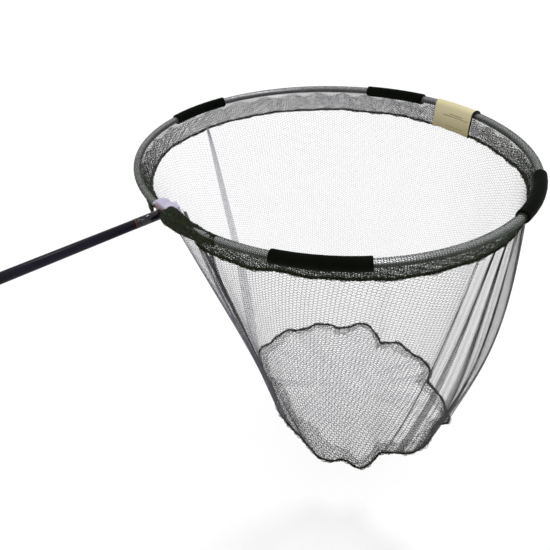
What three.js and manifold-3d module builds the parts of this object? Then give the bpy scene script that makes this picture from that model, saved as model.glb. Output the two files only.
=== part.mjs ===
// Landing net: a two-section telescopic handle and a screw-on head, an oval frame with a deep
// netting bag. Millimetres, +Z up. The handle's axis is the X axis and the head is at +X.
// The origin is on that axis, in the middle of the hand grip.
import * as THREE from 'three';
import { mergeVertices } from 'three/addons/utils/BufferGeometryUtils.js';
import Module from 'manifold-3d';

const wasm = await Module();
wasm.setup();

// ---- driving dimensions ----

const GAP = 0.3; // left between pieces that touch
const ROUND_SIDES = 20; // sides of a turned piece

// handle, butt section
const BUTT_X = -116; // flat end of the cap
const CAP_LENGTH = 34;
const CAP_RADIUS = 9.8;
const CAP_FLOOR = 8;
const GRIP_LENGTH = 160;
const GRIP_RADIUS = 12;
const GRIP_RIBS = 16;
const GRIP_RIB_DEPTH = 0.8;
const TUBE_BUTT_RADIUS = 8;
const TUBE_MOUTH_RADIUS = 6.05;
const TUBE_WALL = 0.8;
const MOUTH_X = 438; // where the outer tube ends
const RING_WIDTH = 2.1;
const RING_RADIUS = 6.4;
const BUSH_LENGTH = 14;

// handle, inner section
const INNER_RADIUS = 4.5;
const INNER_BORE = 3.7;
const INNER_BUTT_X = -70;
const STOP_BUSH_RADIUS = 4.95;
const STOP_BUSH_LENGTH = 12;
const FERRULE_RADIUS = 6.3;
const FERRULE_LENGTH = 31;
const SOCKET_DEPTH = 5; // the inner tube's seat in the ferrule
const WEB = 1.5; // between that seat and the threaded insert
const INSERT_RADIUS = 5.6;
const INSERT_BORE = 5;

// joint to the head
const WASHER_THICKNESS = 1.4;
const WASHER_RADIUS = 6;
const STUD_RADIUS = 4.7;
const STUD_ENGAGEMENT = 12;

// head block
const BLOCK_X = 474; // its face towards the handle
const BLOCK_DEPTH = 18;
const BLOCK_WIDTH = 44;
const BLOCK_HEIGHT = 20;
const BLOCK_ROUNDING = 5;
const NUT_FLATS = 15;
const NUT_THICKNESS = 5;
const GRUB_RADIUS = 2;

// frame: an oval in the plane z = FRAME_Z, its radius a short cosine series about its centre
const FRAME_CENTRE = new THREE.Vector2(720, -7);
const FRAME_Z = 3;
const FRAME_MEAN_RADIUS = 274;
const FRAME_SERIES = [2, -30, 1.5, 2]; // cos, cos 2, cos 3 and cos 4 terms
const FRAME_STEPS = 64;
const FRAME_TUBE_RADIUS = 4.75;
const FRAME_TUBE_BORE = 3.75;
const ARM_SEAT = 12.5; // how far each arm goes into the block

// netting sleeve, floats, label
const SLEEVE_INNER = 5.1;
const SLEEVE_OUTER = 5.9;
const SKIRT_DROP = 30; // from the tube's centre down to the sleeve's seam
const SKIRT_INSET = 8; // and inwards
const SKIRT_THICKNESS = 1.2;
const LEFT_BARE_STEPS = 1; // bare tube between the block and the sleeve
const WRAP_STEPS = 3; // gathered netting on the right arm
const WRAP_RADIUS = 11;
const SEAM_CORD_RADIUS = 1.3;
const FLOAT_RADIUS = 8.3;
const FLOAT_BORE = 6.6;
const FLOAT_LENGTH = 106;
const FLOATS = { float_front: -129, float_right: -73, float_back_right: 19, float_back_left: 95 };
const LABEL_ANGLE = -10;
const LABEL_LENGTH = 88;

// bag
const WALL_THICKNESS = 1.2;
const WALL_TOP_Z = FRAME_Z - SKIRT_DROP - 3.6;
const BASE_Z = -462;
const BASE_CENTRE = new THREE.Vector2(742, -25);
const BASE_MEAN_RADIUS = 170;
const BASE_OVAL = -22;
const BULGE = 6; // how far the wall stands out of the straight line at half height
const BULGE_SWING = 13; // and how much more it does on the side at BULGE_ANGLE
const BULGE_ANGLE = -60;
const BASE_SAG = 8;
const BASE_THICKNESS = 1.2;
const BASE_CORD_RADIUS = 1.6;
const BAG_SIDES = 40;
const BLOCK_INSET = 14; // how much further in the wall's top edge is at the block
const BLOCK_INSET_SPREAD = 0.45; // radians
const WALL_ROWS = 5;

// ---- materials ----

function finish(color, roughness, metalness = 0) {
  return new THREE.MeshStandardMaterial({ color, roughness, metalness });
}

const DARK_TUBE = finish(0x14131c, 0.32, 0.2);
const RUBBER = finish(0x161616, 0.85);
const FOAM = finish(0x14170f, 0.9);
const COPPER = finish(0xb0683c, 0.3, 1);
const GLOSS_BLACK = finish(0x0b0b10, 0.12, 0.1);
const PLASTIC = finish(0x2b2b2b, 0.5);
const BRASS = finish(0xb08d4a, 0.35, 1);
const STEEL = finish(0xb9bcc0, 0.3, 1);
const ALUMINIUM = finish(0xd6d4e2, 0.28, 1);
const FRAME_METAL = finish(0x1c1e22, 0.35, 0.6);
const SLEEVE_NETTING = finish(0x3a4036, 0.8);
const BAG_NETTING = finish(0x565a4e, 0.8);
const SEAM_CORD = finish(0x14160e, 0.85);
const LABEL_CLOTH = finish(0xe0d6a4, 0.8);

// ---- shape helpers ----

const degrees = THREE.MathUtils.degToRad;

// Turns a closed mesh's faces outwards and drops what only a renderer needs.
function closedBody(geometry) {
  geometry.deleteAttribute('normal');
  geometry.deleteAttribute('uv');
  const body = mergeVertices(geometry, 1e-4);
  const position = body.getAttribute('position');
  const index = body.getIndex();
  const [a, b, c] = [new THREE.Vector3(), new THREE.Vector3(), new THREE.Vector3()];
  let volume = 0;
  for (let i = 0; i < index.count; i += 3) {
    a.fromBufferAttribute(position, index.getX(i));
    b.fromBufferAttribute(position, index.getX(i + 1));
    c.fromBufferAttribute(position, index.getX(i + 2));
    volume += a.dot(b.cross(c));
  }
  if (volume < 0) {
    for (let i = 0; i < index.count; i += 3) {
      const second = index.getX(i + 1);
      index.setX(i + 1, index.getX(i + 2));
      index.setX(i + 2, second);
    }
  }
  return body;
}

// A piece turned about the X axis from [x, radius] points.
function turned(profile) {
  const points = profile.map(([x, radius]) => new THREE.Vector2(radius, x));
  return closedBody(new THREE.LatheGeometry(points, ROUND_SIDES).rotateZ(-Math.PI / 2));
}

// A plain ring or tube about the X axis.
function sleeveAboutX(from, to, bore, radius) {
  return turned([[from, bore], [to, bore], [to, radius], [from, radius], [from, bore]]);
}

// Joins rows of points, each row a closed ring, into a grid of triangles.
function gridTriangles(rows, columns, rowsClose) {
  const triangles = [];
  for (let row = 0; row < (rowsClose ? rows : rows - 1); row++) {
    const next = (row + 1) % rows;
    for (let column = 0; column < columns; column++) {
      const right = (column + 1) % columns;
      const [p, q] = [row * columns + column, row * columns + right];
      const [r, s] = [next * columns + right, next * columns + column];
      triangles.push(p, q, r, p, r, s);
    }
  }
  return triangles;
}

function meshOf(points, triangles) {
  const geometry = new THREE.BufferGeometry().setFromPoints(points);
  geometry.setIndex(triangles);
  return closedBody(geometry);
}

// A body whose section, a closed loop of points, runs round a closed path.
function closedLoft(path, sides) {
  const points = [];
  for (let i = 0; i < sides; i++) {
    points.push(...path((i / sides) * 2 * Math.PI));
  }
  return meshOf(points, gridTriangles(sides, points.length / sides, true));
}

// Carries a section, given as [outward, up] loops, along the stations of the frame.
function sweptSection(stations, outline, bore = []) {
  const hole = bore.toReversed();
  const columns = outline.length + hole.length;
  const points = stations.flatMap(({ centre, outward }) =>
    [...outline, ...hole].map(([out, up]) =>
      new THREE.Vector3(centre.x + out * outward.x, centre.y + out * outward.y, centre.z + up)));
  const triangles = [];
  const addWall = (first, count) => {
    for (const index of gridTriangles(stations.length, count, false)) {
      triangles.push(Math.floor(index / count) * columns + first + (index % count));
    }
  };
  addWall(0, outline.length);
  if (hole.length) {
    addWall(outline.length, hole.length);
  }
  const toPlane = (loop) => loop.map(([out, up]) => new THREE.Vector2(out, up));
  const faces = THREE.ShapeUtils.triangulateShape(toPlane(outline), hole.length ? [toPlane(hole)] : []);
  const last = (stations.length - 1) * columns;
  for (const [i, j, k] of faces) {
    triangles.push(k, j, i, last + i, last + j, last + k);
  }
  return meshOf(points, triangles);
}

// Points of an arc in a section, counter-clockwise from one angle to the other.
function arc(radius, from, to, steps) {
  const points = [];
  for (let i = 0; i <= steps; i++) {
    const angle = degrees(from + ((to - from) * i) / steps);
    points.push([radius * Math.cos(angle), radius * Math.sin(angle)]);
  }
  return points;
}

function circle(radius, sides = 8) {
  return arc(radius, 22.5, 382.5 - 360 / sides, sides - 1);
}

function toManifold(geometry) {
  const body = closedBody(geometry);
  return new wasm.Manifold(new wasm.Mesh({
    numProp: 3,
    vertProperties: new Float32Array(body.getAttribute('position').array),
    triVerts: new Uint32Array(body.getIndex().array),
  }));
}

function fromManifold(manifold) {
  const mesh = manifold.getMesh();
  const geometry = new THREE.BufferGeometry();
  geometry.setAttribute('position', new THREE.BufferAttribute(mesh.vertProperties, 3));
  geometry.setIndex(new THREE.BufferAttribute(mesh.triVerts, 1));
  return geometry;
}

// A plain round bar between two points, for cutting holes.
function bar(from, to, radius) {
  const length = from.distanceTo(to);
  const geometry = new THREE.CylinderGeometry(radius, radius, length, ROUND_SIDES);
  const along = to.clone().sub(from).normalize();
  const turn = new THREE.Quaternion().setFromUnitVectors(new THREE.Vector3(0, 1, 0), along);
  geometry.applyQuaternion(turn);
  const middle = from.clone().add(to).multiplyScalar(0.5);
  return geometry.translate(middle.x, middle.y, middle.z);
}

const group = new THREE.Group();
group.name = 'landing_net';

function add(name, geometry, material) {
  const mesh = new THREE.Mesh(geometry, material);
  mesh.name = name;
  group.add(mesh);
}

// ---- handle, butt section ----

const TUBE_BUTT_X = BUTT_X + CAP_FLOOR;
const GRIP_START = -GRIP_LENGTH / 2;
const RING_END = MOUTH_X + GAP + RING_WIDTH;

function ribbedGrip() {
  const bore = TUBE_BUTT_RADIUS + 0.1;
  const rib = GRIP_LENGTH / GRIP_RIBS;
  const profile = [[-GRIP_START, bore], [GRIP_START, bore], [GRIP_START, GRIP_RADIUS - 2]];
  for (let i = 0; i < GRIP_RIBS; i++) {
    const start = GRIP_START + i * rib;
    profile.push([start + rib * 0.2, GRIP_RADIUS - GRIP_RIB_DEPTH]);
    profile.push([start + rib * 0.4, GRIP_RADIUS]);
    profile.push([start + rib * 0.8, GRIP_RADIUS]);
  }
  profile.push([-GRIP_START, GRIP_RADIUS - 2], [-GRIP_START, bore]);
  return turned(profile);
}

function buttCap() {
  const mouth = BUTT_X + CAP_LENGTH;
  const bore = TUBE_BUTT_RADIUS + GAP;
  return turned([
    [BUTT_X, 0], [BUTT_X, CAP_RADIUS - 1.5], [BUTT_X + 1.5, CAP_RADIUS], [mouth - 1, CAP_RADIUS],
    [mouth, CAP_RADIUS - 0.8], [mouth, bore], [TUBE_BUTT_X - GAP, bore], [TUBE_BUTT_X - GAP, 0],
  ]);
}

function outerTube() {
  return turned([
    [TUBE_BUTT_X, TUBE_BUTT_RADIUS - TUBE_WALL], [MOUTH_X, TUBE_MOUTH_RADIUS - TUBE_WALL],
    [MOUTH_X, TUBE_MOUTH_RADIUS], [TUBE_BUTT_X, TUBE_BUTT_RADIUS],
    [TUBE_BUTT_X, TUBE_BUTT_RADIUS - TUBE_WALL],
  ]);
}

add('butt_cap', buttCap(), RUBBER);
add('hand_grip', ribbedGrip(), FOAM);
add('outer_tube', outerTube(), DARK_TUBE);
add('mouth_ring', sleeveAboutX(MOUTH_X + GAP, RING_END, INNER_RADIUS + GAP, RING_RADIUS), COPPER);
add('mouth_bush', sleeveAboutX(
  MOUTH_X - GAP - BUSH_LENGTH, MOUTH_X - GAP, INNER_RADIUS + 0.15, TUBE_MOUTH_RADIUS - TUBE_WALL - 0.1,
), PLASTIC);

// ---- handle, inner section ----

const FERRULE_START = RING_END + GAP;
const FERRULE_END = FERRULE_START + FERRULE_LENGTH;
const SEAT_X = FERRULE_START + SOCKET_DEPTH;
const INSERT_START = SEAT_X + WEB + GAP;

function endFerrule() {
  const socket = INNER_RADIUS + 0.2;
  const room = INSERT_RADIUS + 0.2;
  return turned([
    [FERRULE_START, socket], [SEAT_X, socket], [SEAT_X, 2], [SEAT_X + WEB, 2], [SEAT_X + WEB, room],
    [FERRULE_END, room], [FERRULE_END, FERRULE_RADIUS - 0.3], [FERRULE_END - 0.4, FERRULE_RADIUS],
    [FERRULE_START + 0.4, FERRULE_RADIUS], [FERRULE_START, FERRULE_RADIUS - 0.4], [FERRULE_START, socket],
  ]);
}

function stopBush() {
  const spigot = INNER_BORE - 0.2;
  const flange = INNER_BUTT_X - GAP;
  return turned([
    [flange - STOP_BUSH_LENGTH, 2], [flange + STOP_BUSH_LENGTH, 2], [flange + STOP_BUSH_LENGTH, spigot],
    [flange, spigot], [flange, STOP_BUSH_RADIUS], [flange - STOP_BUSH_LENGTH, STOP_BUSH_RADIUS],
    [flange - STOP_BUSH_LENGTH, 2],
  ]);
}

add('inner_tube', sleeveAboutX(INNER_BUTT_X, SEAT_X - GAP, INNER_BORE, INNER_RADIUS), DARK_TUBE);
add('stop_bush', stopBush(), PLASTIC);
add('end_ferrule', endFerrule(), GLOSS_BLACK);
add('threaded_insert', sleeveAboutX(INSERT_START, FERRULE_END - GAP, INSERT_BORE, INSERT_RADIUS), BRASS);

// ---- joint to the head ----

const WASHER_START = BLOCK_X - GAP - WASHER_THICKNESS;
const BLOCK_END = BLOCK_X + BLOCK_DEPTH;
const BLOCK_Z = (FRAME_Z + 1) / 2;
const STUD_END = BLOCK_END + GAP + NUT_THICKNESS + 1;

function stud() {
  const start = WASHER_START - STUD_ENGAGEMENT;
  return turned([
    [start, 0], [start, STUD_RADIUS - 0.8], [start + 1, STUD_RADIUS], [STUD_END - 0.6, STUD_RADIUS],
    [STUD_END, STUD_RADIUS - 0.6], [STUD_END, 0],
  ]);
}

function hexNut() {
  const outline = new THREE.Shape(
    Array.from({ length: 6 }, (_, i) => {
      const angle = degrees(60 * i);
      const corner = NUT_FLATS / 2 / Math.cos(degrees(30));
      return new THREE.Vector2(corner * Math.cos(angle), corner * Math.sin(angle));
    }),
  );
  outline.holes.push(new THREE.Path().absarc(0, 0, STUD_RADIUS + 0.2, 0, 2 * Math.PI, true));
  const geometry = new THREE.ExtrudeGeometry(outline, {
    depth: NUT_THICKNESS, bevelEnabled: false, curveSegments: 10,
  });
  return closedBody(geometry.rotateY(Math.PI / 2).translate(BLOCK_END + GAP, 0, 0));
}

add('lock_washer', sleeveAboutX(
  WASHER_START, WASHER_START + WASHER_THICKNESS, STUD_RADIUS + GAP, WASHER_RADIUS,
), RUBBER);
add('threaded_stud', stud(), STEEL);
add('stud_nut', hexNut(), STEEL);

// ---- frame ----

function ovalRadius(angle, mean, series) {
  return series.reduce((sum, term, i) => sum + term * Math.cos((i + 1) * angle), mean);
}

function framePoint(angle, inset = 0, z = FRAME_Z) {
  const radius = ovalRadius(angle, FRAME_MEAN_RADIUS, FRAME_SERIES) - inset;
  return new THREE.Vector3(
    FRAME_CENTRE.x + radius * Math.cos(angle), FRAME_CENTRE.y + radius * Math.sin(angle), z,
  );
}

// The angle about the frame's centre at which an arm ends inside the block.
function armEnd(side) {
  const end = BLOCK_WIDTH / 2 - ARM_SEAT;
  const reach = ovalRadius(Math.PI, FRAME_MEAN_RADIUS, FRAME_SERIES);
  return side * (Math.PI - Math.asin((end - side * FRAME_CENTRE.y) / reach));
}

// Stations from the right arm's end round the far side to the left arm's end.
function frameStations() {
  const [from, to] = [armEnd(-1), armEnd(1)];
  const stations = [];
  for (let i = 0; i <= FRAME_STEPS; i++) {
    const angle = from + ((to - from) * i) / FRAME_STEPS;
    const ahead = framePoint(angle + 1e-3);
    const along = ahead.sub(framePoint(angle - 1e-3)).normalize();
    stations.push({ angle, centre: framePoint(angle), outward: new THREE.Vector2(along.y, -along.x) });
  }
  return stations;
}

const STATIONS = frameStations();

function headBlock() {
  const [half, tall] = [BLOCK_DEPTH / 2 - BLOCK_ROUNDING, BLOCK_HEIGHT / 2 - BLOCK_ROUNDING];
  const section = new THREE.Shape();
  section.absarc(half, tall, BLOCK_ROUNDING, 0, Math.PI / 2, false);
  section.absarc(-half, tall, BLOCK_ROUNDING, Math.PI / 2, Math.PI, false);
  section.absarc(-half, -tall, BLOCK_ROUNDING, Math.PI, 1.5 * Math.PI, false);
  section.absarc(half, -tall, BLOCK_ROUNDING, 1.5 * Math.PI, 2 * Math.PI, false);
  const edge = 2;
  const body = new THREE.ExtrudeGeometry(section, {
    depth: BLOCK_WIDTH - 2 * edge, curveSegments: 5, bevelSize: edge, bevelOffset: -edge,
    bevelThickness: edge, bevelSegments: 2,
  });
  body.translate(0, 0, edge - BLOCK_WIDTH / 2).rotateX(Math.PI / 2);
  body.translate(BLOCK_X + BLOCK_DEPTH / 2, 0, BLOCK_Z);
  let block = toManifold(body);
  block = block.subtract(toManifold(bar(
    new THREE.Vector3(BLOCK_X - 5, 0, 0), new THREE.Vector3(BLOCK_END + 5, 0, 0), STUD_RADIUS + GAP,
  )));
  for (const [end, next, side] of [[STATIONS[0], STATIONS[1], -1], [STATIONS.at(-1), STATIONS.at(-2), 1]]) {
    const along = next.centre.clone().sub(end.centre).normalize();
    const outside = end.centre.clone().addScaledVector(along, 2 * ARM_SEAT);
    const inside = end.centre.clone().addScaledVector(along, -GAP);
    block = block.subtract(toManifold(bar(inside, outside, FRAME_TUBE_RADIUS + GAP)));
    const below = grubPlace(end, side).setZ(BLOCK_Z - BLOCK_HEIGHT);
    const top = below.clone().setZ(FRAME_Z);
    block = block.subtract(toManifold(bar(below, top, GRUB_RADIUS + GAP)));
  }
  return fromManifold(block);
}

// The middle of an arm's seat in the block.
function grubPlace(end, side) {
  return end.centre.clone().setY(side * (BLOCK_WIDTH / 2 - ARM_SEAT / 2));
}

function grubScrew(end, side) {
  const place = grubPlace(end, side);
  const bottom = BLOCK_Z - BLOCK_HEIGHT / 2;
  const top = FRAME_Z - FRAME_TUBE_RADIUS - GAP;
  return closedBody(bar(place.clone().setZ(bottom), place.clone().setZ(top), GRUB_RADIUS));
}

add('head_block', headBlock(), ALUMINIUM);
add('right_arm_screw', grubScrew(STATIONS[0], -1), STEEL);
add('left_arm_screw', grubScrew(STATIONS.at(-1), 1), STEEL);
add('frame_tube', sweptSection(STATIONS, circle(FRAME_TUBE_RADIUS), circle(FRAME_TUBE_BORE)), FRAME_METAL);

// ---- netting sleeve over the frame ----

const SLEEVE_STATIONS = STATIONS.slice(WRAP_STEPS, FRAME_STEPS - LEFT_BARE_STEPS);

function sleeveSection() {
  const slope = SKIRT_INSET / SKIRT_DROP;
  const half = SKIRT_THICKNESS / 2;
  return [
    ...arc(SLEEVE_OUTER, -67.5, 247.5, 7),
    [-SKIRT_INSET - half, -SKIRT_DROP],
    [-SKIRT_INSET + half, -SKIRT_DROP],
    [-slope * (SLEEVE_OUTER + 2) + 1.5 * half, -SLEEVE_OUTER - 2],
  ];
}

// The wrap runs from just clear of the block to just clear of the sleeve.
function wrapStations() {
  const stations = STATIONS.slice(0, WRAP_STEPS + 1);
  const shift = (from, to, distance) => {
    const along = to.centre.clone().sub(from.centre).normalize();
    return { ...from, centre: from.centre.clone().addScaledVector(along, distance) };
  };
  stations[0] = shift(stations[0], stations[1], ARM_SEAT + 2 * GAP);
  stations[WRAP_STEPS] = shift(stations[WRAP_STEPS], stations[WRAP_STEPS - 1], GAP);
  return stations;
}

function cordSection(radius, out, up) {
  return circle(radius, 6).map(([x, y]) => [x + out, y + up]);
}

add('mesh_sleeve', sweptSection(SLEEVE_STATIONS, sleeveSection(), circle(SLEEVE_INNER)), SLEEVE_NETTING);
add('sleeve_wrap', sweptSection(wrapStations(), circle(WRAP_RADIUS), circle(SLEEVE_INNER)), SLEEVE_NETTING);
add('rim_seam_cord', sweptSection(
  SLEEVE_STATIONS,
  cordSection(SEAM_CORD_RADIUS, -SKIRT_INSET, -SKIRT_DROP - SEAM_CORD_RADIUS - GAP),
), SEAM_CORD);

// ---- floats and label ----

// The stretch of the frame of a given length about an angle, with its ends between stations.
function stretch(angle, length) {
  const radius = ovalRadius(degrees(angle), FRAME_MEAN_RADIUS, FRAME_SERIES);
  const half = length / 2 / radius;
  const inside = STATIONS.filter((s) => Math.abs(s.angle - degrees(angle)) < half * 0.97);
  const between = (target) => {
    const next = STATIONS.findIndex((s) => s.angle > target);
    const [a, b] = [STATIONS[next - 1], STATIONS[next]];
    const share = (target - a.angle) / (b.angle - a.angle);
    return {
      angle: target,
      centre: a.centre.clone().lerp(b.centre, share),
      outward: a.outward.clone().lerp(b.outward, share),
    };
  };
  return [between(degrees(angle) - half), ...inside, between(degrees(angle) + half)];
}

// A foam tube, slit underneath where the netting leaves it.
function floatSection() {
  return [...arc(FLOAT_RADIUS, -67.5, 225, 11), ...arc(FLOAT_BORE, -67.5, 225, 8).reverse()];
}

for (const [name, angle] of Object.entries(FLOATS)) {
  add(name, sweptSection(stretch(angle, FLOAT_LENGTH), floatSection()), FOAM);
}

// A strip over the sleeve that hangs down inside it to the seam.
function labelSection() {
  const strip = (radius, slack) => [
    ...arc(radius, 0, 180, 4), [-radius - 0.6, -10], [-SKIRT_INSET - 2 - slack, -SKIRT_DROP + 1],
  ];
  const near = SLEEVE_OUTER + 0.7;
  return [...strip(near + 0.5, 0.5), ...strip(near, 0).reverse()];
}

add('fabric_label', sweptSection(stretch(LABEL_ANGLE, LABEL_LENGTH), labelSection()), LABEL_CLOTH);

// ---- bag ----

function basePoint(angle, inset, z) {
  const radius = BASE_MEAN_RADIUS + BASE_OVAL * Math.cos(2 * angle) - inset;
  return new THREE.Vector3(
    BASE_CENTRE.x + radius * Math.cos(angle), BASE_CENTRE.y + radius * Math.sin(angle), z,
  );
}

// A point of the wall: share runs from 0 at the sleeve's seam to 1 at the base's seam.
function wallPoint(angle, share, inset) {
  const atBlock = Math.exp(-(((angle - Math.PI) / BLOCK_INSET_SPREAD) ** 2));
  const top = framePoint(angle, SKIRT_INSET + BLOCK_INSET * atBlock + inset, WALL_TOP_Z);
  const point = top.lerp(basePoint(angle, inset, BASE_Z + BASE_CORD_RADIUS + GAP), share);
  const swing = BULGE + BULGE_SWING * Math.cos(angle - degrees(BULGE_ANGLE));
  const bulge = swing * Math.sin(Math.PI * share);
  return point.add(new THREE.Vector3(bulge * Math.cos(angle), bulge * Math.sin(angle), 0));
}

function bagWall(angle) {
  const shares = Array.from({ length: WALL_ROWS + 1 }, (_, row) => row / WALL_ROWS);
  const outside = shares.map((share) => wallPoint(angle, share, 0));
  const inside = shares.map((share) => wallPoint(angle, share, WALL_THICKNESS));
  return [...outside, ...inside.reverse()];
}

function baseSeam(angle) {
  const centre = basePoint(angle, 0, BASE_Z);
  const outward = new THREE.Vector3(Math.cos(angle), Math.sin(angle), 0);
  return cordSection(BASE_CORD_RADIUS, 0, 0).map(([out, up]) =>
    centre.clone().addScaledVector(outward, out).setZ(BASE_Z + up));
}

// The base panel is a shallow dish: two skins of rings that meet at the edge.
function bagBase() {
  const edge = BASE_CORD_RADIUS + 2 * GAP;
  const rings = [0, 0.35, 0.7];
  const skin = (lower) => rings.map((share) => Array.from({ length: BAG_SIDES }, (_, i) => {
    const angle = (i / BAG_SIDES) * 2 * Math.PI;
    const rim = basePoint(angle, edge, BASE_Z + BASE_THICKNESS / 2);
    const sag = BASE_SAG * (1 - (1 - share) ** 2) + lower * BASE_THICKNESS;
    return rim.lerp(new THREE.Vector3(BASE_CENTRE.x, BASE_CENTRE.y, rim.z), share).setZ(rim.z - sag);
  }));
  const rows = [...skin(0).reverse(), ...skin(1)];
  const points = rows.flat();
  const triangles = gridTriangles(rows.length, BAG_SIDES, false);
  const middle = (row, lower) => {
    const z = BASE_Z + BASE_THICKNESS / 2 - BASE_SAG - lower * BASE_THICKNESS;
    points.push(new THREE.Vector3(BASE_CENTRE.x, BASE_CENTRE.y, z));
    for (let i = 0; i < BAG_SIDES; i++) {
      const [here, next] = [row * BAG_SIDES + i, row * BAG_SIDES + ((i + 1) % BAG_SIDES)];
      triangles.push(points.length - 1, ...(lower ? [here, next] : [next, here]));
    }
  };
  middle(0, 0);
  middle(rows.length - 1, 1);
  return meshOf(points, triangles);
}

add('bag_wall', closedLoft(bagWall, BAG_SIDES), BAG_NETTING);
add('bag_base', bagBase(), BAG_NETTING);
add('base_seam_cord', closedLoft(baseSeam, BAG_SIDES), SEAM_CORD);

export default group;
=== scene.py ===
"""Landing net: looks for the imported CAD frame. Metres, +Z up, the handle along +X."""

import math

import bpy
import numpy as np
from mathutils import Matrix, Vector


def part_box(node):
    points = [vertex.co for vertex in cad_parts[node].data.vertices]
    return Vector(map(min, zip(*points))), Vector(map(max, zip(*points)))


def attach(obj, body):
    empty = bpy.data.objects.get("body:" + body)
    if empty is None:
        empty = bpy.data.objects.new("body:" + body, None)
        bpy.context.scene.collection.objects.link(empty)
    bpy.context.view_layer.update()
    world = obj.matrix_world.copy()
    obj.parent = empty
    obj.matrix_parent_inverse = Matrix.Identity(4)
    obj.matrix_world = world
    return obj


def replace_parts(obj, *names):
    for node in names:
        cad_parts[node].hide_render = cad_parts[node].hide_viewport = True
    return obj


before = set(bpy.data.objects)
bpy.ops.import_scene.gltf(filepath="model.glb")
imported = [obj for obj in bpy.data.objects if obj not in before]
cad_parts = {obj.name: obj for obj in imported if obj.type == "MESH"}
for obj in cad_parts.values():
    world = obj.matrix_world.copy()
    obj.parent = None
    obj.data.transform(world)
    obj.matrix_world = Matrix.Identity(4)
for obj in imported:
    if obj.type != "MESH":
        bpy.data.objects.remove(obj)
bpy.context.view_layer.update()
scene = bpy.context.scene
rng = np.random.default_rng(7)

# ---- where things are, from the frame ----

FRAME_LOW, FRAME_HIGH = (np.array(corner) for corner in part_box("frame_tube"))
BASE_LOW, BASE_HIGH = (np.array(corner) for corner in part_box("base_seam_cord"))
BLOCK_LOW, BLOCK_HIGH = (np.array(corner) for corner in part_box("head_block"))

RIM_CENTRE = np.array([0.720, -0.007])
RIM_REACH = 0.274
RIM_Z = (FRAME_LOW[2] + FRAME_HIGH[2]) / 2
BASE_CENTRE = (BASE_LOW[:2] + BASE_HIGH[:2]) / 2
BASE_Z = (BASE_LOW[2] + BASE_HIGH[2]) / 2
TUBE_RADIUS = 0.00475
SLEEVE_RADIUS = 0.0056
SKIRT_INSET = 0.008

# Angles about the frame's centre, in radians, of what sits on it.
LEFT_SLEEVE_END = math.radians(173)
RIGHT_SLEEVE_END = math.radians(-168.5)
FLOATS = {"float_front": -129, "float_right": -73, "float_back_right": 19, "float_back_left": 95}
FLOAT_LENGTH = 0.106
FLOAT_RADIUS = 0.0083


def lobe(angle, centre, width):
    """A smooth bump of height 1 about an angle in degrees."""
    away = (np.degrees(angle) - centre + 180) % 360 - 180
    return np.exp(-((away / width) ** 2))


def rim_radius(angle):
    waves = 0.002 * np.cos(angle) - 0.030 * np.cos(2 * angle) + 0.0015 * np.cos(3 * angle)
    return RIM_REACH + waves + 0.002 * np.cos(4 * angle)


def rim_point(angle, inset=0.0, z=None):
    angle = np.asarray(angle, float)
    radius = rim_radius(angle) - inset
    height = np.full_like(radius, RIM_Z) if z is None else z + np.zeros_like(radius)
    return np.stack(
        [RIM_CENTRE[0] + radius * np.cos(angle), RIM_CENTRE[1] + radius * np.sin(angle), height], -1
    )


def rim_frame(angle):
    """Centre, direction along the rim and direction outward, at angles round the rim."""
    ahead = rim_point(angle + 1e-3) - rim_point(angle - 1e-3)
    along = ahead / np.linalg.norm(ahead, axis=-1, keepdims=True)
    outward = np.stack([along[..., 1], -along[..., 0], np.zeros_like(along[..., 0])], -1)
    return rim_point(angle), along, outward


def skirt_drop(angle):
    """How far the sleeve's seam hangs below the tube's centre."""
    drop = 0.0315 + 0.0035 * np.sin(angle)
    drop = drop + 0.004 * lobe(angle, -150, 8) - 0.005 * lobe(angle, -139, 5)
    drop = drop - 0.004 * lobe(angle, -120, 14) - 0.004 * lobe(angle, -60, 20)
    drop = drop - 0.016 * lobe(angle, 180, 9) - 0.008 * lobe(angle, -176, 10)
    return drop + 0.0006 * np.sin(15 * angle) + 0.0004 * np.sin(41 * angle + 1)


def skirt_inset(angle):
    inset = SKIRT_INSET + 0.016 * lobe(angle, 180, 26) + 0.004 * lobe(angle, 140, 20)
    inset = inset - 0.014 * lobe(angle, -166, 9)
    return inset + 0.0008 * np.sin(11 * angle + 2)


# ---- camera, at the photograph's angle ----

camera_data = bpy.data.cameras.new("camera")
camera_data.lens = 36.43
camera_data.sensor_width = 36
camera_data.clip_start = 0.01
camera = bpy.data.objects.new("camera", camera_data)
right = Vector((0.80988, -0.57749, -0.10295))
up = Vector((0.40606, 0.42527, 0.80887))
back = right.cross(up)
facing = Matrix((right, up, back)).transposed().to_4x4()
camera.matrix_world = Matrix.Translation((0.26426, -0.59808, 0.32531)) @ facing
scene.collection.objects.link(camera)
scene.camera = camera


# ---- materials ----


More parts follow.
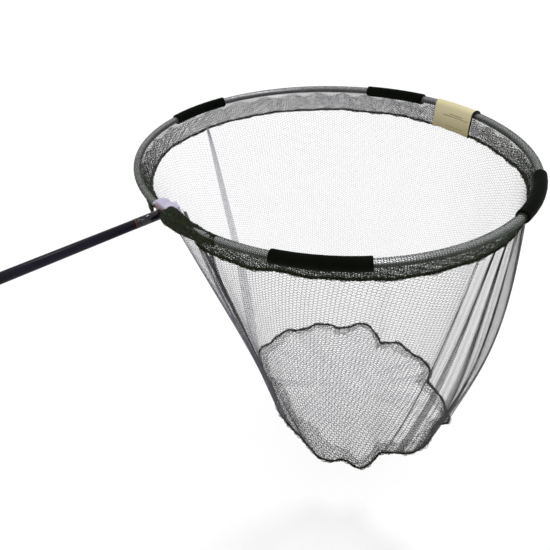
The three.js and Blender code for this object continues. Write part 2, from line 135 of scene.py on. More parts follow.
class Nodes:
    """A short way to write a procedural material."""

    def __init__(self, name):
        self.material = bpy.data.materials.new(name)
        self.material.use_nodes = True
        self.tree = self.material.node_tree
        self.shader = self.tree.nodes["Principled BSDF"]
        self.place = self.tree.nodes.new("ShaderNodeTexCoord").outputs["Object"]

    def node(self, kind, inputs=(), **settings):
        node = self.tree.nodes.new("ShaderNode" + kind)
        for key, value in settings.items():
            setattr(node, key, value)
        for key, value in dict(inputs).items():
            if isinstance(value, bpy.types.NodeSocket):
                self.tree.links.new(value, node.inputs[key])
            else:
                node.inputs[key].default_value = value
        return node

    def stretched(self, scale):
        return self.node("Mapping", {"Vector": self.place, "Scale": scale}).outputs["Vector"]

    def noise(self, scale, detail=3.0, stretch=None, roughness=0.5):
        vector = self.place if stretch is None else self.stretched(stretch)
        inputs = {"Vector": vector, "Scale": scale, "Detail": detail, "Roughness": roughness}
        return self.node("TexNoise", inputs).outputs["Fac"]

    def ramp(self, factor, stops):
        node = self.node("ValToRGB", {"Fac": factor})
        while len(node.color_ramp.elements) < len(stops):
            node.color_ramp.elements.new(0.5)
        for element, (position, colour) in zip(node.color_ramp.elements, stops):
            element.position = position
            element.color = (*colour, 1)
        return node.outputs["Color"]

    def span(self, factor, low, high):
        node = self.node("MapRange", {"Value": factor, "To Min": low, "To Max": high})
        return node.outputs["Result"]

    def mix(self, factor, a, b):
        node = self.node("Mix", data_type="RGBA")
        for key, value in ((0, factor), (6, a), (7, b)):
            if isinstance(value, bpy.types.NodeSocket):
                self.tree.links.new(value, node.inputs[key])
            else:
                node.inputs[key].default_value = value if key == 0 else (*value, 1)
        return node.outputs[2]

    def bump(self, height, strength, distance):
        inputs = {"Height": height, "Strength": strength, "Distance": distance}
        self.tree.links.new(self.node("Bump", inputs).outputs["Normal"], self.shader.inputs["Normal"])

    def set(self, **values):
        for key, value in values.items():
            socket = self.shader.inputs[key.replace("_", " ")]
            if isinstance(value, bpy.types.NodeSocket):
                self.tree.links.new(value, socket)
            else:
                socket.default_value = value
        return self


def solid(name, colours, roughness, metallic=0.0, grain=400.0, stretch=None, bump=0.1, depth=2e-4, **more):
    """A finish with a two-tone mottle, an uneven gloss and a fine surface grain."""
    m = Nodes(name)
    tone = m.noise(60.0, 4.0)
    colour = m.ramp(tone, [(0.3, colours[0]), (0.7, colours[1])])
    fine = m.noise(grain, 4.0, stretch)
    more = {"Specular_IOR_Level": 0.5} | more
    m.set(Base_Color=colour, Roughness=m.span(fine, roughness[0], roughness[1]), Metallic=metallic, **more)
    m.bump(fine, bump, depth)
    return m.material


# From the hand's right towards the far left: the net's colour goes from painted shade on the near side to
# painted light on the far side.
FAR_DIRECTION = (0.52, 0.855, 0.0)
NEAR_REACH, FAR_REACH = 0.21, 0.47


def twine(name, near, far, wear=0.35, reaches=(NEAR_REACH, FAR_REACH)):
    """Netting twine: painted shade darkens it on the near side of the frame and painted light lightens it on
    the far side.
    """
    m = Nodes(name)
    reach = m.node("VectorMath", {0: m.place, 1: FAR_DIRECTION}, operation="DOT_PRODUCT").outputs["Value"]
    limits = {"From Min": reaches[0], "From Max": reaches[1]}
    across = m.node("MapRange", {"Value": reach} | limits).outputs["Result"]
    speckle = m.noise(900.0, 2.0)
    patches = m.noise(14.0, 3.0)
    # Painted light: the near colour is painted shade and the far colour painted light, blended across the
    # frame.
    side = m.mix(across, near, far)
    worn = m.mix(m.span(speckle, 0.0, wear), side, tuple(min(1.0, 2.4 * c) for c in far))
    dark = m.mix(m.span(patches, 0.0, 0.5), worn, tuple(0.4 * c for c in near))
    m.set(Base_Color=dark, Roughness=m.span(speckle, 0.45, 0.8), Specular_IOR_Level=0.1)
    m.bump(m.noise(3000.0, 2.0), 0.3, 1e-4)
    return m.material


def frame_metal():
    """Drawn alloy tube, dulled by its finish, with a painted highlight along the top."""
    m = Nodes("drawn_frame_tube")
    up = m.node("SeparateXYZ", {"Vector": m.place}).outputs["Z"]
    # Painted highlight: the tube's colour turns bright towards its top, where light falls.
    painted_top_highlight = m.node("MapRange", {"Value": up, "From Min": RIM_Z + 0.0010, "From Max": RIM_Z + 0.0046})
    scuffs = m.noise(350.0, 4.0)
    share = m.node("Math", {0: painted_top_highlight.outputs["Result"], 1: m.span(scuffs, 0.7, 1.1)}, operation="MULTIPLY")
    share.use_clamp = True
    dull = m.ramp(m.noise(60.0), [(0.3, (0.05, 0.053, 0.050)), (0.7, (0.10, 0.105, 0.10))])
    # Dark tube colour, with the painted highlight's pale colour mixed in along the top.
    m.set(Base_Color=m.mix(share.outputs[0], dull, (0.74, 0.75, 0.77)), Metallic=1.0)
    m.set(Roughness=m.span(scuffs, 0.2, 0.34))
    m.bump(scuffs, 0.06, 2e-4)
    return m.material


def gathered():
    """Bunched olive netting with a few painted glints, small painted highlights."""
    m = Nodes("gathered_netting")
    bunches = m.noise(300.0, 4.0)
    weave = m.node("TexVoronoi", {"Vector": m.place, "Scale": 900.0}, feature="DISTANCE_TO_EDGE")
    olive = m.ramp(bunches, [(0.35, (0.006, 0.009, 0.003)), (0.65, (0.040, 0.050, 0.022))])
    # Painted highlight: small bright glints picked out by a noise threshold.
    painted_glint = m.node("MapRange", {"Value": m.noise(230.0, 2.0), "From Min": 0.70, "From Max": 0.74})
    twines = m.ramp(weave.outputs["Distance"], [(0.05, (1.0, 1.0, 1.0)), (0.35, (0.25, 0.25, 0.25))])
    cloth = m.node("Mix", data_type="RGBA", blend_type="MULTIPLY")
    cloth.inputs[0].default_value = 1.0
    m.tree.links.new(olive, cloth.inputs[6])
    m.tree.links.new(twines, cloth.inputs[7])
    m.set(Base_Color=m.mix(painted_glint.outputs["Result"], cloth.outputs[2], (0.42, 0.44, 0.40)))
    m.set(Roughness=m.span(bunches, 0.4, 0.8), Specular_IOR_Level=0.15)
    m.bump(weave.outputs["Distance"], 0.8, 1.0e-3)
    return m.material


def block_cast():
    """Pale anodised casting, with painted warm shade on its handle side."""
    m = Nodes("cast_block")
    ahead = m.node("SeparateXYZ", {"Vector": m.place}).outputs["X"]
    # Painted shade: the handle-side face is coloured dark warm brown.
    side = m.node("MapRange", {"Value": ahead, "From Min": BLOCK_LOW[0], "From Max": BLOCK_LOW[0] + 0.0035})
    mottle = m.ramp(m.noise(60.0, 4.0), [(0.3, (0.42, 0.39, 0.52)), (0.7, (0.56, 0.53, 0.68))])
    fine = m.noise(350.0, 4.0, (1, 0.1, 1))
    colour = m.mix(side.outputs["Result"], (0.17, 0.10, 0.09), mottle)
    m.set(Base_Color=colour, Roughness=m.span(fine, 0.35, 0.55), Metallic=0.3)
    m.bump(fine, 0.12, 2e-4)
    return m.material


MATERIALS = {
    # For each twine below, the near colour is painted shade and the far colour painted light.
    "wall": twine("wall_twine", (0.034, 0.038, 0.028), (0.33, 0.30, 0.38), 0.10),
    "base": twine("base_twine", (0.090, 0.074, 0.125), (0.15, 0.125, 0.20), 0.10),
    "hem": twine("hem_twine", (0.030, 0.031, 0.024), (0.060, 0.055, 0.060), 0.12),
    "sleeve": twine("sleeve_twine", (0.016, 0.028, 0.008), (0.130, 0.122, 0.138), 0.12, (0.34, 0.58)),
    "gather": gathered(),
    "seam": solid("seam_cord_braid", ((0.004, 0.005, 0.002), (0.022, 0.027, 0.011)), (0.6, 0.9),
                  grain=900.0, bump=0.8, depth=6e-4, Specular_IOR_Level=0.1),
    "stitches": solid("seam_stitches", ((0.006, 0.008, 0.003), (0.030, 0.036, 0.015)), (0.6, 0.9),
                      grain=900.0, bump=0.5, Specular_IOR_Level=0.1),
    "foam": solid("float_foam_skin", ((0.0006, 0.0012, 0.0004), (0.0020, 0.0034, 0.0012)), (0.5, 0.7),
                  grain=1500.0, bump=0.25, depth=1.5e-4, Specular_IOR_Level=0.03),
    "grip": solid("grip_foam_skin", ((0.010, 0.011, 0.009), (0.022, 0.024, 0.018)), (0.75, 0.95),
                  grain=1300.0, bump=0.6, depth=4e-4),
    "rubber": solid("moulded_rubber", ((0.010, 0.010, 0.010), (0.020, 0.020, 0.020)), (0.6, 0.8),
                    grain=1100.0, bump=0.3),
    "tube": solid("anodised_tube", ((0.003, 0.003, 0.008), (0.006, 0.005, 0.013)), (0.22, 0.34),
                  grain=300.0, stretch=(0.02, 1, 1), bump=0.08, Specular_IOR_Level=0.14),
    "ferrule": solid("gloss_ferrule", ((0.003, 0.003, 0.007), (0.006, 0.005, 0.011)), (0.06, 0.12),
                     grain=200.0, bump=0.03, Specular_IOR_Level=0.1, Coat_Weight=0.7, Coat_Roughness=0.05),
    "copper": solid("copper_ring", ((0.07, 0.030, 0.022), (0.12, 0.056, 0.042)), (0.18, 0.3), 1.0,
                    grain=500.0, bump=0.1),
    "frame": frame_metal(),
    "block": block_cast(),
    "steel": solid("turned_steel", ((0.45, 0.45, 0.47), (0.62, 0.62, 0.64)), (0.2, 0.4), 1.0,
                   grain=600.0, stretch=(0.05, 1, 1), bump=0.15),
    "brass": solid("turned_brass", ((0.50, 0.34, 0.13), (0.68, 0.48, 0.20)), (0.2, 0.4), 1.0,
                   grain=600.0, stretch=(0.05, 1, 1), bump=0.15),
    "plastic": solid("bush_plastic", ((0.030, 0.030, 0.030), (0.050, 0.050, 0.050)), (0.45, 0.6),
                     grain=500.0, bump=0.1),
}


# Printed bars on the label: each one's height, and half its thickness and half its length.
LABEL_BARS = ((-0.0045, 0.0007, 0.014), (-0.0075, 0.0007, 0.026), (-0.0225, 0.0004, 0.018))
LABEL_MIDDLE = -0.053


def label_cloth():
    """Cream woven cloth, stained and darker towards its lower edge, with worn printed bars."""
    m = Nodes("label_weave")
    weave = m.node("TexWave", {"Vector": m.place, "Scale": 900.0, "Distortion": 1.0}).outputs["Fac"]
    cross = m.node(
        "TexWave", {"Vector": m.place, "Scale": 900.0, "Distortion": 1.0}, bands_direction="Z"
    ).outputs["Fac"]
    threads = m.node("Math", {0: weave, 1: cross}, operation="ADD").outputs[0]
    stains = m.noise(45.0, 5.0)
    low = m.node("SeparateXYZ", {"Vector": m.place}).outputs["Z"]
    shade = m.node("MapRange", {"Value": low, "From Min": -0.03, "From Max": 0.012}).outputs["Result"]
    cream = m.mix(shade, (0.26, 0.21, 0.10), (0.74, 0.68, 0.42))
    cloth = m.mix(m.span(stains, 0.0, 0.35), cream, (0.50, 0.42, 0.24))
    along = m.node("SeparateXYZ", {"Vector": m.place}).outputs["Y"]
    print_mask = 0.0
    for level, height, reach in LABEL_BARS:
        in_row = m.node("Math", {0: low, 1: level, 2: height}, operation="COMPARE").outputs[0]
        in_reach = m.node("Math", {0: along, 1: LABEL_MIDDLE, 2: reach}, operation="COMPARE").outputs[0]
        bar = m.node("Math", {0: in_row, 1: in_reach}, operation="MULTIPLY").outputs[0]
        print_mask = m.node("Math", {0: bar, 1: print_mask}, operation="MAXIMUM").outputs[0]
    worn = m.node("Math", {0: print_mask, 1: m.span(stains, 0.2, 0.9)}, operation="MULTIPLY").outputs[0]
    m.set(Base_Color=m.mix(worn, cloth, (0.06, 0.05, 0.035)), Roughness=0.75)
    m.bump(threads, 0.35, 2e-4)
    return m.material


MATERIALS["label"] = label_cloth()


# ---- mesh helpers ----


def new_mesh(name, points, faces, material, body="head", smooth=True):
    """faces is an array with one row per face."""
    faces = np.asarray(faces, np.int32)
    mesh = bpy.data.meshes.new(name)
    mesh.vertices.add(len(points))
    mesh.vertices.foreach_set("co", np.ascontiguousarray(points, np.float32).ravel())
    mesh.loops.add(faces.size)
    mesh.loops.foreach_set("vertex_index", faces.ravel())
    mesh.polygons.add(len(faces))
    mesh.polygons.foreach_set("loop_start", np.arange(0, faces.size, faces.shape[1], dtype=np.int32))
    mesh.polygons.foreach_set("use_smooth", np.full(len(faces), smooth))
    mesh.update(calc_edges=True)
    mesh.materials.append(MATERIALS[material])
    piece = bpy.data.objects.new(name, mesh)
    scene.collection.objects.link(piece)
    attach(piece, body)
    return piece


def grid_faces(rows, columns, close_rows=False, close_columns=True):
    """Quads over a grid of points stored row by row."""
    row, column = np.meshgrid(
        np.arange(rows if close_rows else rows - 1),
        np.arange(columns if close_columns else columns - 1),
        indexing="ij",
    )
    next_row, next_column = (row + 1) % rows, (column + 1) % columns
    corners = [(row, column), (row, next_column), (next_row, next_column), (next_row, column)]
    return np.stack([r * columns + c for r, c in corners], -1).reshape(-1, 4)


def lathe(name, profile, material, body, sides=64, close=False):
    """A part turned about the X axis from (x, radius) points."""
    profile = np.array(profile)
    turn = np.linspace(0, 2 * np.pi, sides, endpoint=False)
    points = np.stack(
        [
            np.repeat(profile[:, 0], sides),
            np.outer(profile[:, 1], np.cos(turn)).ravel(),
            np.outer(profile[:, 1], np.sin(turn)).ravel(),
        ],
        -1,
    )
    piece = new_mesh(name, points, grid_faces(len(profile), sides, close), material, body)
    piece.data.validate()
    return piece


def normals_along(path):
    """Tangent, and two directions across it, at each point of a path."""
    along = np.gradient(path, axis=0)
    along /= np.linalg.norm(along, axis=1, keepdims=True)
    first = np.cross(along, [0, 0, 1.0])
    first /= np.maximum(np.linalg.norm(first, axis=1, keepdims=True), 1e-9)
    return along, first, np.cross(first, along)


def rope(name, path, radius, material, sides=10, closed=False, twist=0.0, pitch=0.006):
    """A round cord on a path. twist makes it a laid cord with that share of its radius as relief."""
    path = np.asarray(path, float)
    if closed:
        wrapped = np.concatenate([path[-2:], path, path[:2]])
        along, first, second = (part[2:-2] for part in normals_along(wrapped))
    else:
        along, first, second = normals_along(path)
    run = np.concatenate([[0], np.cumsum(np.linalg.norm(np.diff(path, axis=0), axis=1))])
    turn = np.linspace(0, 2 * np.pi, sides, endpoint=False)
    swell = 1 + twist * np.cos(2 * (turn[None, :] - 2 * np.pi * run[:, None] / pitch / 2))
    radii = np.broadcast_to(np.asarray(radius, float), (len(path),))[:, None] * swell
    points = (
        path[:, None, :]
        + radii[..., None] * np.cos(turn)[None, :, None] * first[:, None, :]
        + radii[..., None] * np.sin(turn)[None, :, None] * second[:, None, :]
    )
    faces = grid_faces(len(path), sides, close_rows=closed)
    points = points.reshape(-1, 3)
    if closed:
        return new_mesh(name, points, faces, material)
    ends = np.stack([path[0], path[-1]])
    last = len(points)
    ring = np.arange(sides)
    start_cap = np.stack([np.roll(ring, -1), ring, np.full(sides, last)], -1)
    end_ring = ring + (len(path) - 1) * sides
    end_cap = np.stack([end_ring, np.roll(end_ring, -1), np.full(sides, last + 1)], -1)
    quads = np.concatenate([faces[:, [0, 1, 2]], faces[:, [0, 2, 3]], start_cap, end_cap])
    return new_mesh(name, np.concatenate([points, ends]), quads, material)


# ---- netting ----


# How far the knots of each kind of net stand off their row or column, in cells.
HEX_ZIGZAG, HONEYCOMB_ZIGZAG = 0.21, 0.18


def hex_net(columns, rows, wrap):
    """Knots and twines of hexagonal netting, in cells. wrap joins the last column to the first."""
    half = np.arange(2 * columns + (0 if wrap else 1))
    k, j = np.meshgrid(half, np.arange(rows + 1), indexing="ij")
    even = (k + j) % 2 == 0
    knots = np.stack([k / 2, j + np.where(even, HEX_ZIGZAG, -HEX_ZIGZAG)], -1).reshape(-1, 2)
    index = np.arange(k.size).reshape(k.shape)
    if wrap:
        rows_of_twine = np.stack([index, np.roll(index, -1, axis=0)], -1).reshape(-1, 2)
    else:
        rows_of_twine = np.stack([index[:-1], index[1:]], -1).reshape(-1, 2)
    upright = np.stack([index[:, :-1], index[:, 1:]], -1)[even[:, :-1]]
    return knots, np.concatenate([rows_of_twine, upright])


def strands(points, normals, twines, thickness):
    """Points and faces of short twines with a ridged section, each lying in the net's surface."""
    start, end = points[twines[:, 0]], points[twines[:, 1]]
    lift = normals[twines[:, 0]] + normals[twines[:, 1]]
    lift /= np.maximum(np.linalg.norm(lift, axis=1, keepdims=True), 1e-9)
    along = end - start
    aside = np.cross(along, lift)
    aside /= np.maximum(np.linalg.norm(aside, axis=1, keepdims=True), 1e-9)
    thickness = np.broadcast_to(np.asarray(thickness, float), (len(points),))
    reach = []
    for place, index in ((start, 0), (end, 1)):
        half = thickness[twines[:, index]][:, None] / 2
        reach += [place - half * aside - half * 0.5 * lift, place + half * 0.7 * lift]
        reach += [place + half * aside - half * 0.5 * lift]
    corners = np.stack(reach, 1).reshape(-1, 3)
    first = np.arange(len(twines))[:, None] * 6
    faces = np.concatenate([first + [0, 3, 4, 1], first + [1, 4, 5, 2]])
    return corners, faces


def surface_normals(surface, x, y, step=1e-4):
    ahead = surface(x + step, y) - surface(x - step, y)
    above = surface(x, np.minimum(y + step, 1.0)) - surface(x, np.maximum(y - step, 0.0))
    normal = np.cross(ahead, above)
    return normal / np.maximum(np.linalg.norm(normal, axis=1, keepdims=True), 1e-9)


def honeycomb(columns, rows, wrap):
    """Netting with its joints lying level: lines of zigzag run up, columns of them side by side."""
    half = np.arange(2 * rows + 1)
    j, k = np.meshgrid(np.arange(columns + (0 if wrap else 1)), half, indexing="ij")
    even = (k + j) % 2 == 0
    knots = np.stack([j + np.where(even, HONEYCOMB_ZIGZAG, -HONEYCOMB_ZIGZAG), k / 2], -1).reshape(-1, 2)
    index = np.arange(k.size).reshape(k.shape)
    upward = np.stack([index[:, :-1], index[:, 1:]], -1).reshape(-1, 2)
    beside = np.stack([index, np.roll(index, -1, axis=0)], -1)
    level = (beside if wrap else beside[:-1])[even if wrap else even[:-1]]
    return knots, np.concatenate([upward, level])


def netting(
    name, surface, columns, rows, thickness, material, wrap=False, jitter=2e-4, parts=1, upright=False
):
    """The pieces of a netting on surface(x, y), with x and y from 0 to 1, cut into bands of rows.

    wrap joins its two sides, upright lays its joints level, and thickness may be a function of points.
    """
    knots, twines = (honeycomb if upright else hex_net)(columns, rows, wrap)
    x, y = knots[:, 0] / columns, np.clip(knots[:, 1] / rows, 0, 1)
    if not wrap:
        x = np.clip(x, 0, 1)
    points = surface(x, y)
    normals = surface_normals(surface, x, y)
    points = points + rng.normal(0, jitter, points.shape)
    width = thickness(points) if callable(thickness) else thickness
    level = y[twines].mean(1)
    cloth = np.stack([x, y], -1)
    pieces = []
    for part in range(parts):
        chosen = (level >= part / parts) & (level < (part + 1) / parts + (part == parts - 1))
        corners, faces = strands(points, normals, twines[chosen], width)
        label = name if parts == 1 else f"{name}_{part + 1}"
        pieces.append(new_mesh(label, corners, faces, material, smooth=False))
        apart = np.abs(cloth[twines[chosen, 0]] - cloth[twines[chosen, 1]])
        apart[:, 0] = np.minimum(apart[:, 0], np.abs(1 - apart[:, 0]))
    return pieces


# ---- the bag's wall ----

# Pleats in the wall: angle at the top, angle at the base, width of a layer in degrees, and the
# power of the share of height by which the pleat leaves its angle at the top.
FOLDS = [
    (-178, -195, 5.0, 0.7), (-170, -187, 6.0, 0.6), (-161, -179, 6.5, 0.7), (-93.5, -110.5, 2.0, 0.9),
    (-88.5, -104, 5.5, 0.8), (-84, -94, 7.0, 0.7), (-79, -84, 5.0, 1.0), (-69, -74, 4.5, 1.0),
    (94, 116, 8.5, 1.3),
]
FOLD_GAP = 0.0018  # between a pleat's layers
FOLD_NARROW = 0.12  # a pleat's width at the rim, as a share of its width at the base
GATHER = 0.92  # cloth in a pleat's layer, as a share of the layer's width
CLOTH_TURN = 360 + (3 * GATHER - 1) * sum(fold[2] for fold in FOLDS)


# Dents and bulges of the base's gathered edge: angle, width in degrees, and reach.
BASE_LOBES = (
    (55, 11, -0.027), (14, 9, -0.026), (36, 6, 0.008), (-20, 9, 0.004), (-44, 8, -0.020),
    (-68, 6, 0.010), (-78, 5, -0.008), (-103, 6, -0.006), (-138, 19, 0.016), (113, 8, 0.015),
    (82, 8, -0.010), (148, 20, -0.018), (-112, 7, -0.015), (-135, 6, -0.007), (-125, 4, 0.006),
)


def base_radius(angle):
    """The base's seam: an oval with its dents and bulges."""
    radius = 0.170 - 0.022 * np.cos(2 * angle)
    for centre, width, depth in BASE_LOBES:
        radius = radius + depth * lobe(angle, centre, width)
    return radius


def base_height(angle):
    ripple = 0.004 * np.sin(8 * angle + 0.6) + 0.0025 * np.sin(13 * angle) + 0.0012 * np.sin(37 * angle)
    ripple = ripple + 0.008 * lobe(angle, -112, 7) - 0.003 * lobe(angle, -125, 4)
    return BASE_Z - 0.004 + ripple


def about_base(angle, radius, height):
    """Points at a radius from the base's middle."""
    across = [BASE_CENTRE[0] + radius * np.cos(angle), BASE_CENTRE[1] + radius * np.sin(angle)]
    return np.stack([*across, height], -1)


def base_edge(angle):
    return about_base(angle, base_radius(angle), base_height(angle))


def fold_edges():
    """The pleats' edges round the bag: place in the cloth, then the pleat's own numbers and side."""
    edges, reached, last = [], 0.0, None
    for first, second, width, bend in FOLDS:
        middle = (first + second) / 2
        if last is not None:
            reached += middle - width / 2 - last
        last = middle + width / 2
        for step, side, depth in ((0, -0.5, 0.0), (1, 0.5, 1.0), (2, -0.5, -1.0), (3, 0.5, 0.0)):
            edges.append((reached + step * GATHER * width, first, second, width, bend, side, depth))
        reached += 3 * GATHER * width
    edges = np.array(edges)
    around = np.array([CLOTH_TURN, 360, 360, 0, 0, 0, 0])
    return np.concatenate([edges[-1:] - around, edges, edges[:1] + around])


EDGES = fold_edges()


def folded(turn, share):
    """Angle and depth of the pleated cloth, at degrees of its own and a share of its height."""
    place, first, second, width, bend, side, depth = EDGES.T
    turn = (turn - place[1]) % CLOTH_TURN + place[1]
    k = np.clip(np.searchsorted(place, turn, side="right") - 1, 0, len(place) - 2)
    along = (turn - place[k]) / (place[k + 1] - place[k])
    wide = FOLD_NARROW + (1 - FOLD_NARROW) * share**0.85

    def angle_of(i):
        return first[i] + (second[i] - first[i]) * share ** bend[i] + side[i] * width[i] * wide

    angle = angle_of(k) + (angle_of(k + 1) - angle_of(k)) * along
    deep = (depth[k] + (depth[k + 1] - depth[k]) * along) * FOLD_GAP
    return np.radians(angle), deep


def wall_place(angle, share, depth=0.0):
    """A point of the bag's wall, share 0 at the sleeve's seam and 1 at the base's."""
    top = rim_point(angle, skirt_inset(angle) + 0.0012, 0.0)
    top[..., 2] = RIM_Z - skirt_drop(angle) + 0.003
    point = top + (base_edge(angle) - top) * share[..., None]
    swing = 0.006 + 0.013 * np.cos(angle - math.radians(-60))
    bulge = swing * np.sin(np.pi * share)
    bulge = bulge + 0.0035 * np.sin(5 * angle + 3 * share) * np.sin(np.pi * share)
    bulge = bulge + 0.0012 * np.sin(23 * angle) * share - depth
    point[..., 0] += bulge * np.cos(angle)
    point[..., 1] += bulge * np.sin(angle)
    return point


def wall(x, y):
    """x runs round the cloth, pleats and all, and y from the sleeve's seam down to the base's."""
    angle, depth = folded(CLOTH_TURN * x, y)
    return wall_place(angle, y, depth)


NEAR_TWINE, FAR_THINNER = 0.00047, 0.00011


def twine_width(points):
    """Slack twine on the near side is fuller than the stretched twine on the far side."""
    reach = points @ np.array(FAR_DIRECTION)
    return NEAR_TWINE - FAR_THINNER * np.clip((reach - NEAR_REACH) / (FAR_REACH - NEAR_REACH), 0, 1)


# An even number of columns, so that a wrapped honeycomb closes.
WALL_COLUMNS, WALL_ROWS = 2 * round(184 * CLOTH_TURN / 360), 106
wall_pieces = netting(
    "net_wall", wall, WALL_COLUMNS, WALL_ROWS, twine_width, "wall",
    wrap=True, jitter=4e-5, parts=4, upright=True,
)

# ---- the sleeve over the frame ----


def sleeve_angle(x):
    return RIGHT_SLEEVE_END + (LEFT_SLEEVE_END - RIGHT_SLEEVE_END) * x


def sleeve_section(y, drop, inset):
    """Out and up of the sleeve's section: its outer side to y = outer, over the tube, its inner side."""
    radius = SLEEVE_RADIUS
    outer, over = 0.37, 0.63
    up_share = np.clip(y / outer, 0, 1)
    turn = np.clip((y - outer) / (over - outer), 0, 1) * np.pi
    down_share = np.clip((y - over) / (1 - over), 0, 1)
    out = np.where(y < outer, radius * up_share - inset * (1 - up_share), radius * np.cos(turn))
    out = np.where(y > over, -radius * (1 - down_share) - (inset + 0.001) * down_share, out)
    height = np.where(y < outer, -drop * (1 - up_share), radius * np.sin(turn))
    height = np.where(y > over, -drop * down_share, height)
    return out, height


def sleeve(x, y):
    """The sleeve's two sides, over the tube and creased where they hang."""
    angle = sleeve_angle(x)
    centre, _, outward = rim_frame(angle)
    out, height = sleeve_section(y, skirt_drop(angle), skirt_inset(angle))
    hanging = np.clip(-height / 0.02, 0, 1) * np.clip((skirt_drop(angle) + height) / 0.008, 0, 1)
    creases = np.sin(83 * angle + 450 * height) + 0.6 * np.sin(151 * angle - 330 * height)
    creases = creases + 0.9 * np.sin(29 * angle + 200 * height)
    out = out + 0.0008 * hanging * creases
    point = centre + out[..., None] * outward
    point[..., 2] += height
    return point


sleeve_pieces = netting("net_sleeve", sleeve, 620, 30, 0.00053, "sleeve", jitter=5e-5, upright=True)


def sleeve_lining(x, y):
    """The wall's own top edge, turned up inside the sleeve and crumpled there."""
    angle = sleeve_angle(x)
    centre, _, outward = rim_frame(angle)
    drop, inset = skirt_drop(angle), skirt_inset(angle)
    height = -drop + (drop - 0.006) * np.abs(2 * y - 1) * (0.9 + 0.1 * np.sin(37 * angle))
    share = -height / drop
    out = -inset * share - 0.002 * (y - 0.5)
    out = out + 0.0011 * np.sin(97 * angle + 700 * height) * np.sin(np.pi * np.clip(share, 0, 1))
    point = centre + out[..., None] * outward
    point[..., 2] += height
    return point


lining_pieces = netting(
    "net_sleeve_lining", sleeve_lining, 520, 18, 0.00050, "sleeve", jitter=1.5e-4, upright=True
)

# ---- the frame tube, its cords, floats and label ----

RIGHT_ARM_END, LEFT_ARM_END = math.radians(-176.2), math.radians(173.5)
arms = np.linspace(RIGHT_ARM_END, LEFT_ARM_END, 360)
frame_tube = rope("frame_tube_drawn", rim_point(arms), TUBE_RADIUS, "frame", sides=28)
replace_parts(frame_tube, "frame_tube")

seam_angles = np.linspace(RIGHT_SLEEVE_END, LEFT_SLEEVE_END, 900)
seam_path = rim_point(seam_angles, skirt_inset(seam_angles), 0.0)
seam_path[:, 2] = RIM_Z - skirt_drop(seam_angles)
seam_path += 0.0003 * rng.normal(size=seam_path.shape)
seam_cord = rope("rim_seam_braid", seam_path, 0.0016, "seam", twist=0.25)
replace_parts(seam_cord, "rim_seam_cord")


def overcast(name, place, columns, reach, node, closed=False):
    """Loops of twine sewn round a seam cord, whose middle and outward side place(x) gives."""

    def surface(x, y):
        centre, outward = place(x)
        uneven = reach * (1 + 0.30 * np.sin(211 * x) + 0.25 * np.sin(577 * x + 1))
        point = centre + (uneven * np.cos(2 * np.pi * y))[:, None] * outward
        point[:, 2] += uneven * np.sin(2 * np.pi * y)
        return point

    for piece in netting(name, surface, columns, 5, 0.0005, "stitches", wrap=closed, jitter=3.5e-4):
        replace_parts(piece, node)


def along_rim_seam(x):
    angle = sleeve_angle(x)
    point = rim_point(angle, skirt_inset(angle))
    point[:, 2] -= skirt_drop(angle)
    return point, rim_frame(angle)[2]


overcast("rim_seam_stitches", along_rim_seam, 640, 0.0021, "rim_seam_cord")

base_angles = np.linspace(-np.pi, np.pi, 620, endpoint=False)
base_path = base_edge(base_angles) + 0.0003 * rng.normal(size=(620, 3))
base_cord = rope("base_seam_braid", base_path, 0.0017, "seam", closed=True, twist=0.25)
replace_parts(base_cord, "base_seam_cord")


def along_base_seam(x):
    angle = 2 * np.pi * x
    return base_edge(angle), np.stack([np.cos(angle), np.sin(angle), np.zeros_like(angle)], -1)


overcast("base_seam_stitches", along_base_seam, 420, 0.0030, "base_seam_cord", closed=True)


def float_tube(name, centre_degrees):
    """A foam tube round the sleeve, with softened ends."""
    middle = math.radians(centre_degrees)
    half = FLOAT_LENGTH / 2 / float(rim_radius(np.array(middle)))
    ends = np.array([0, 0.002, 0.006, 0.016])
    shares = np.concatenate([ends, np.linspace(0.03, 0.97, 24), 1 - ends[::-1]])
    rounding = np.interp(shares, [0, 0.002, 0.006, 0.016, 0.984, 0.994, 0.998, 1],
                         [0.90, 0.955, 0.985, 1, 1, 0.985, 0.955, 0.90])
    radii = FLOAT_RADIUS * rounding * (1 + 0.006 * np.sin(40 * shares))
    path = rim_point(middle - half + 2 * half * shares)
    piece = rope(name, path, radii, "foam", sides=32)
    return piece


for node, degrees in FLOATS.items():
    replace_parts(float_tube(f"{node}_foam", degrees), node)


LABEL_RIGHT, LABEL_LEFT = math.radians(-18.6), math.radians(-0.4)
LABEL_BEND = 0.34  # the share of its length that goes over the tube


def label_surface(x, y, lift=0.0):
    """The label's cloth: over the tube to y = LABEL_BEND, then down the skirt's inner side."""
    angle = LABEL_RIGHT + (LABEL_LEFT - LABEL_RIGHT) * x
    centre, _, outward = rim_frame(angle)
    radius = SLEEVE_RADIUS + 0.0015 + lift
    turn = np.clip(y / LABEL_BEND, 0, 1) * np.pi * 1.02
    down = np.clip((y - LABEL_BEND) / (1 - LABEL_BEND), 0, 1)
    drop, inset = skirt_drop(angle) + 0.001, skirt_inset(angle) + 0.0042 + lift
    out = np.where(y < LABEL_BEND, radius * np.cos(turn), -radius * (1 - down) - inset * down)
    height = np.where(y < LABEL_BEND, radius * np.sin(turn), -drop * down)
    out = out - 0.0006 * np.sin(9 * x + 4 * down) * down
    point = centre + out[..., None] * outward
    point[..., 2] += height
    return point


def patch(name, surface, columns, rows, thickness, material):
    """A thin cloth over surface(x, y), with its own thickness."""
    x, y = np.meshgrid(np.linspace(0, 1, columns), np.linspace(0, 1, rows), indexing="xy")
    piece = new_mesh(
        name, surface(x.ravel(), y.ravel()), grid_faces(rows, columns, close_columns=False), material
    )
    solidify = piece.modifiers.new("cloth", "SOLIDIFY")
    solidify.thickness = thickness
    solidify.offset = 0
    return piece


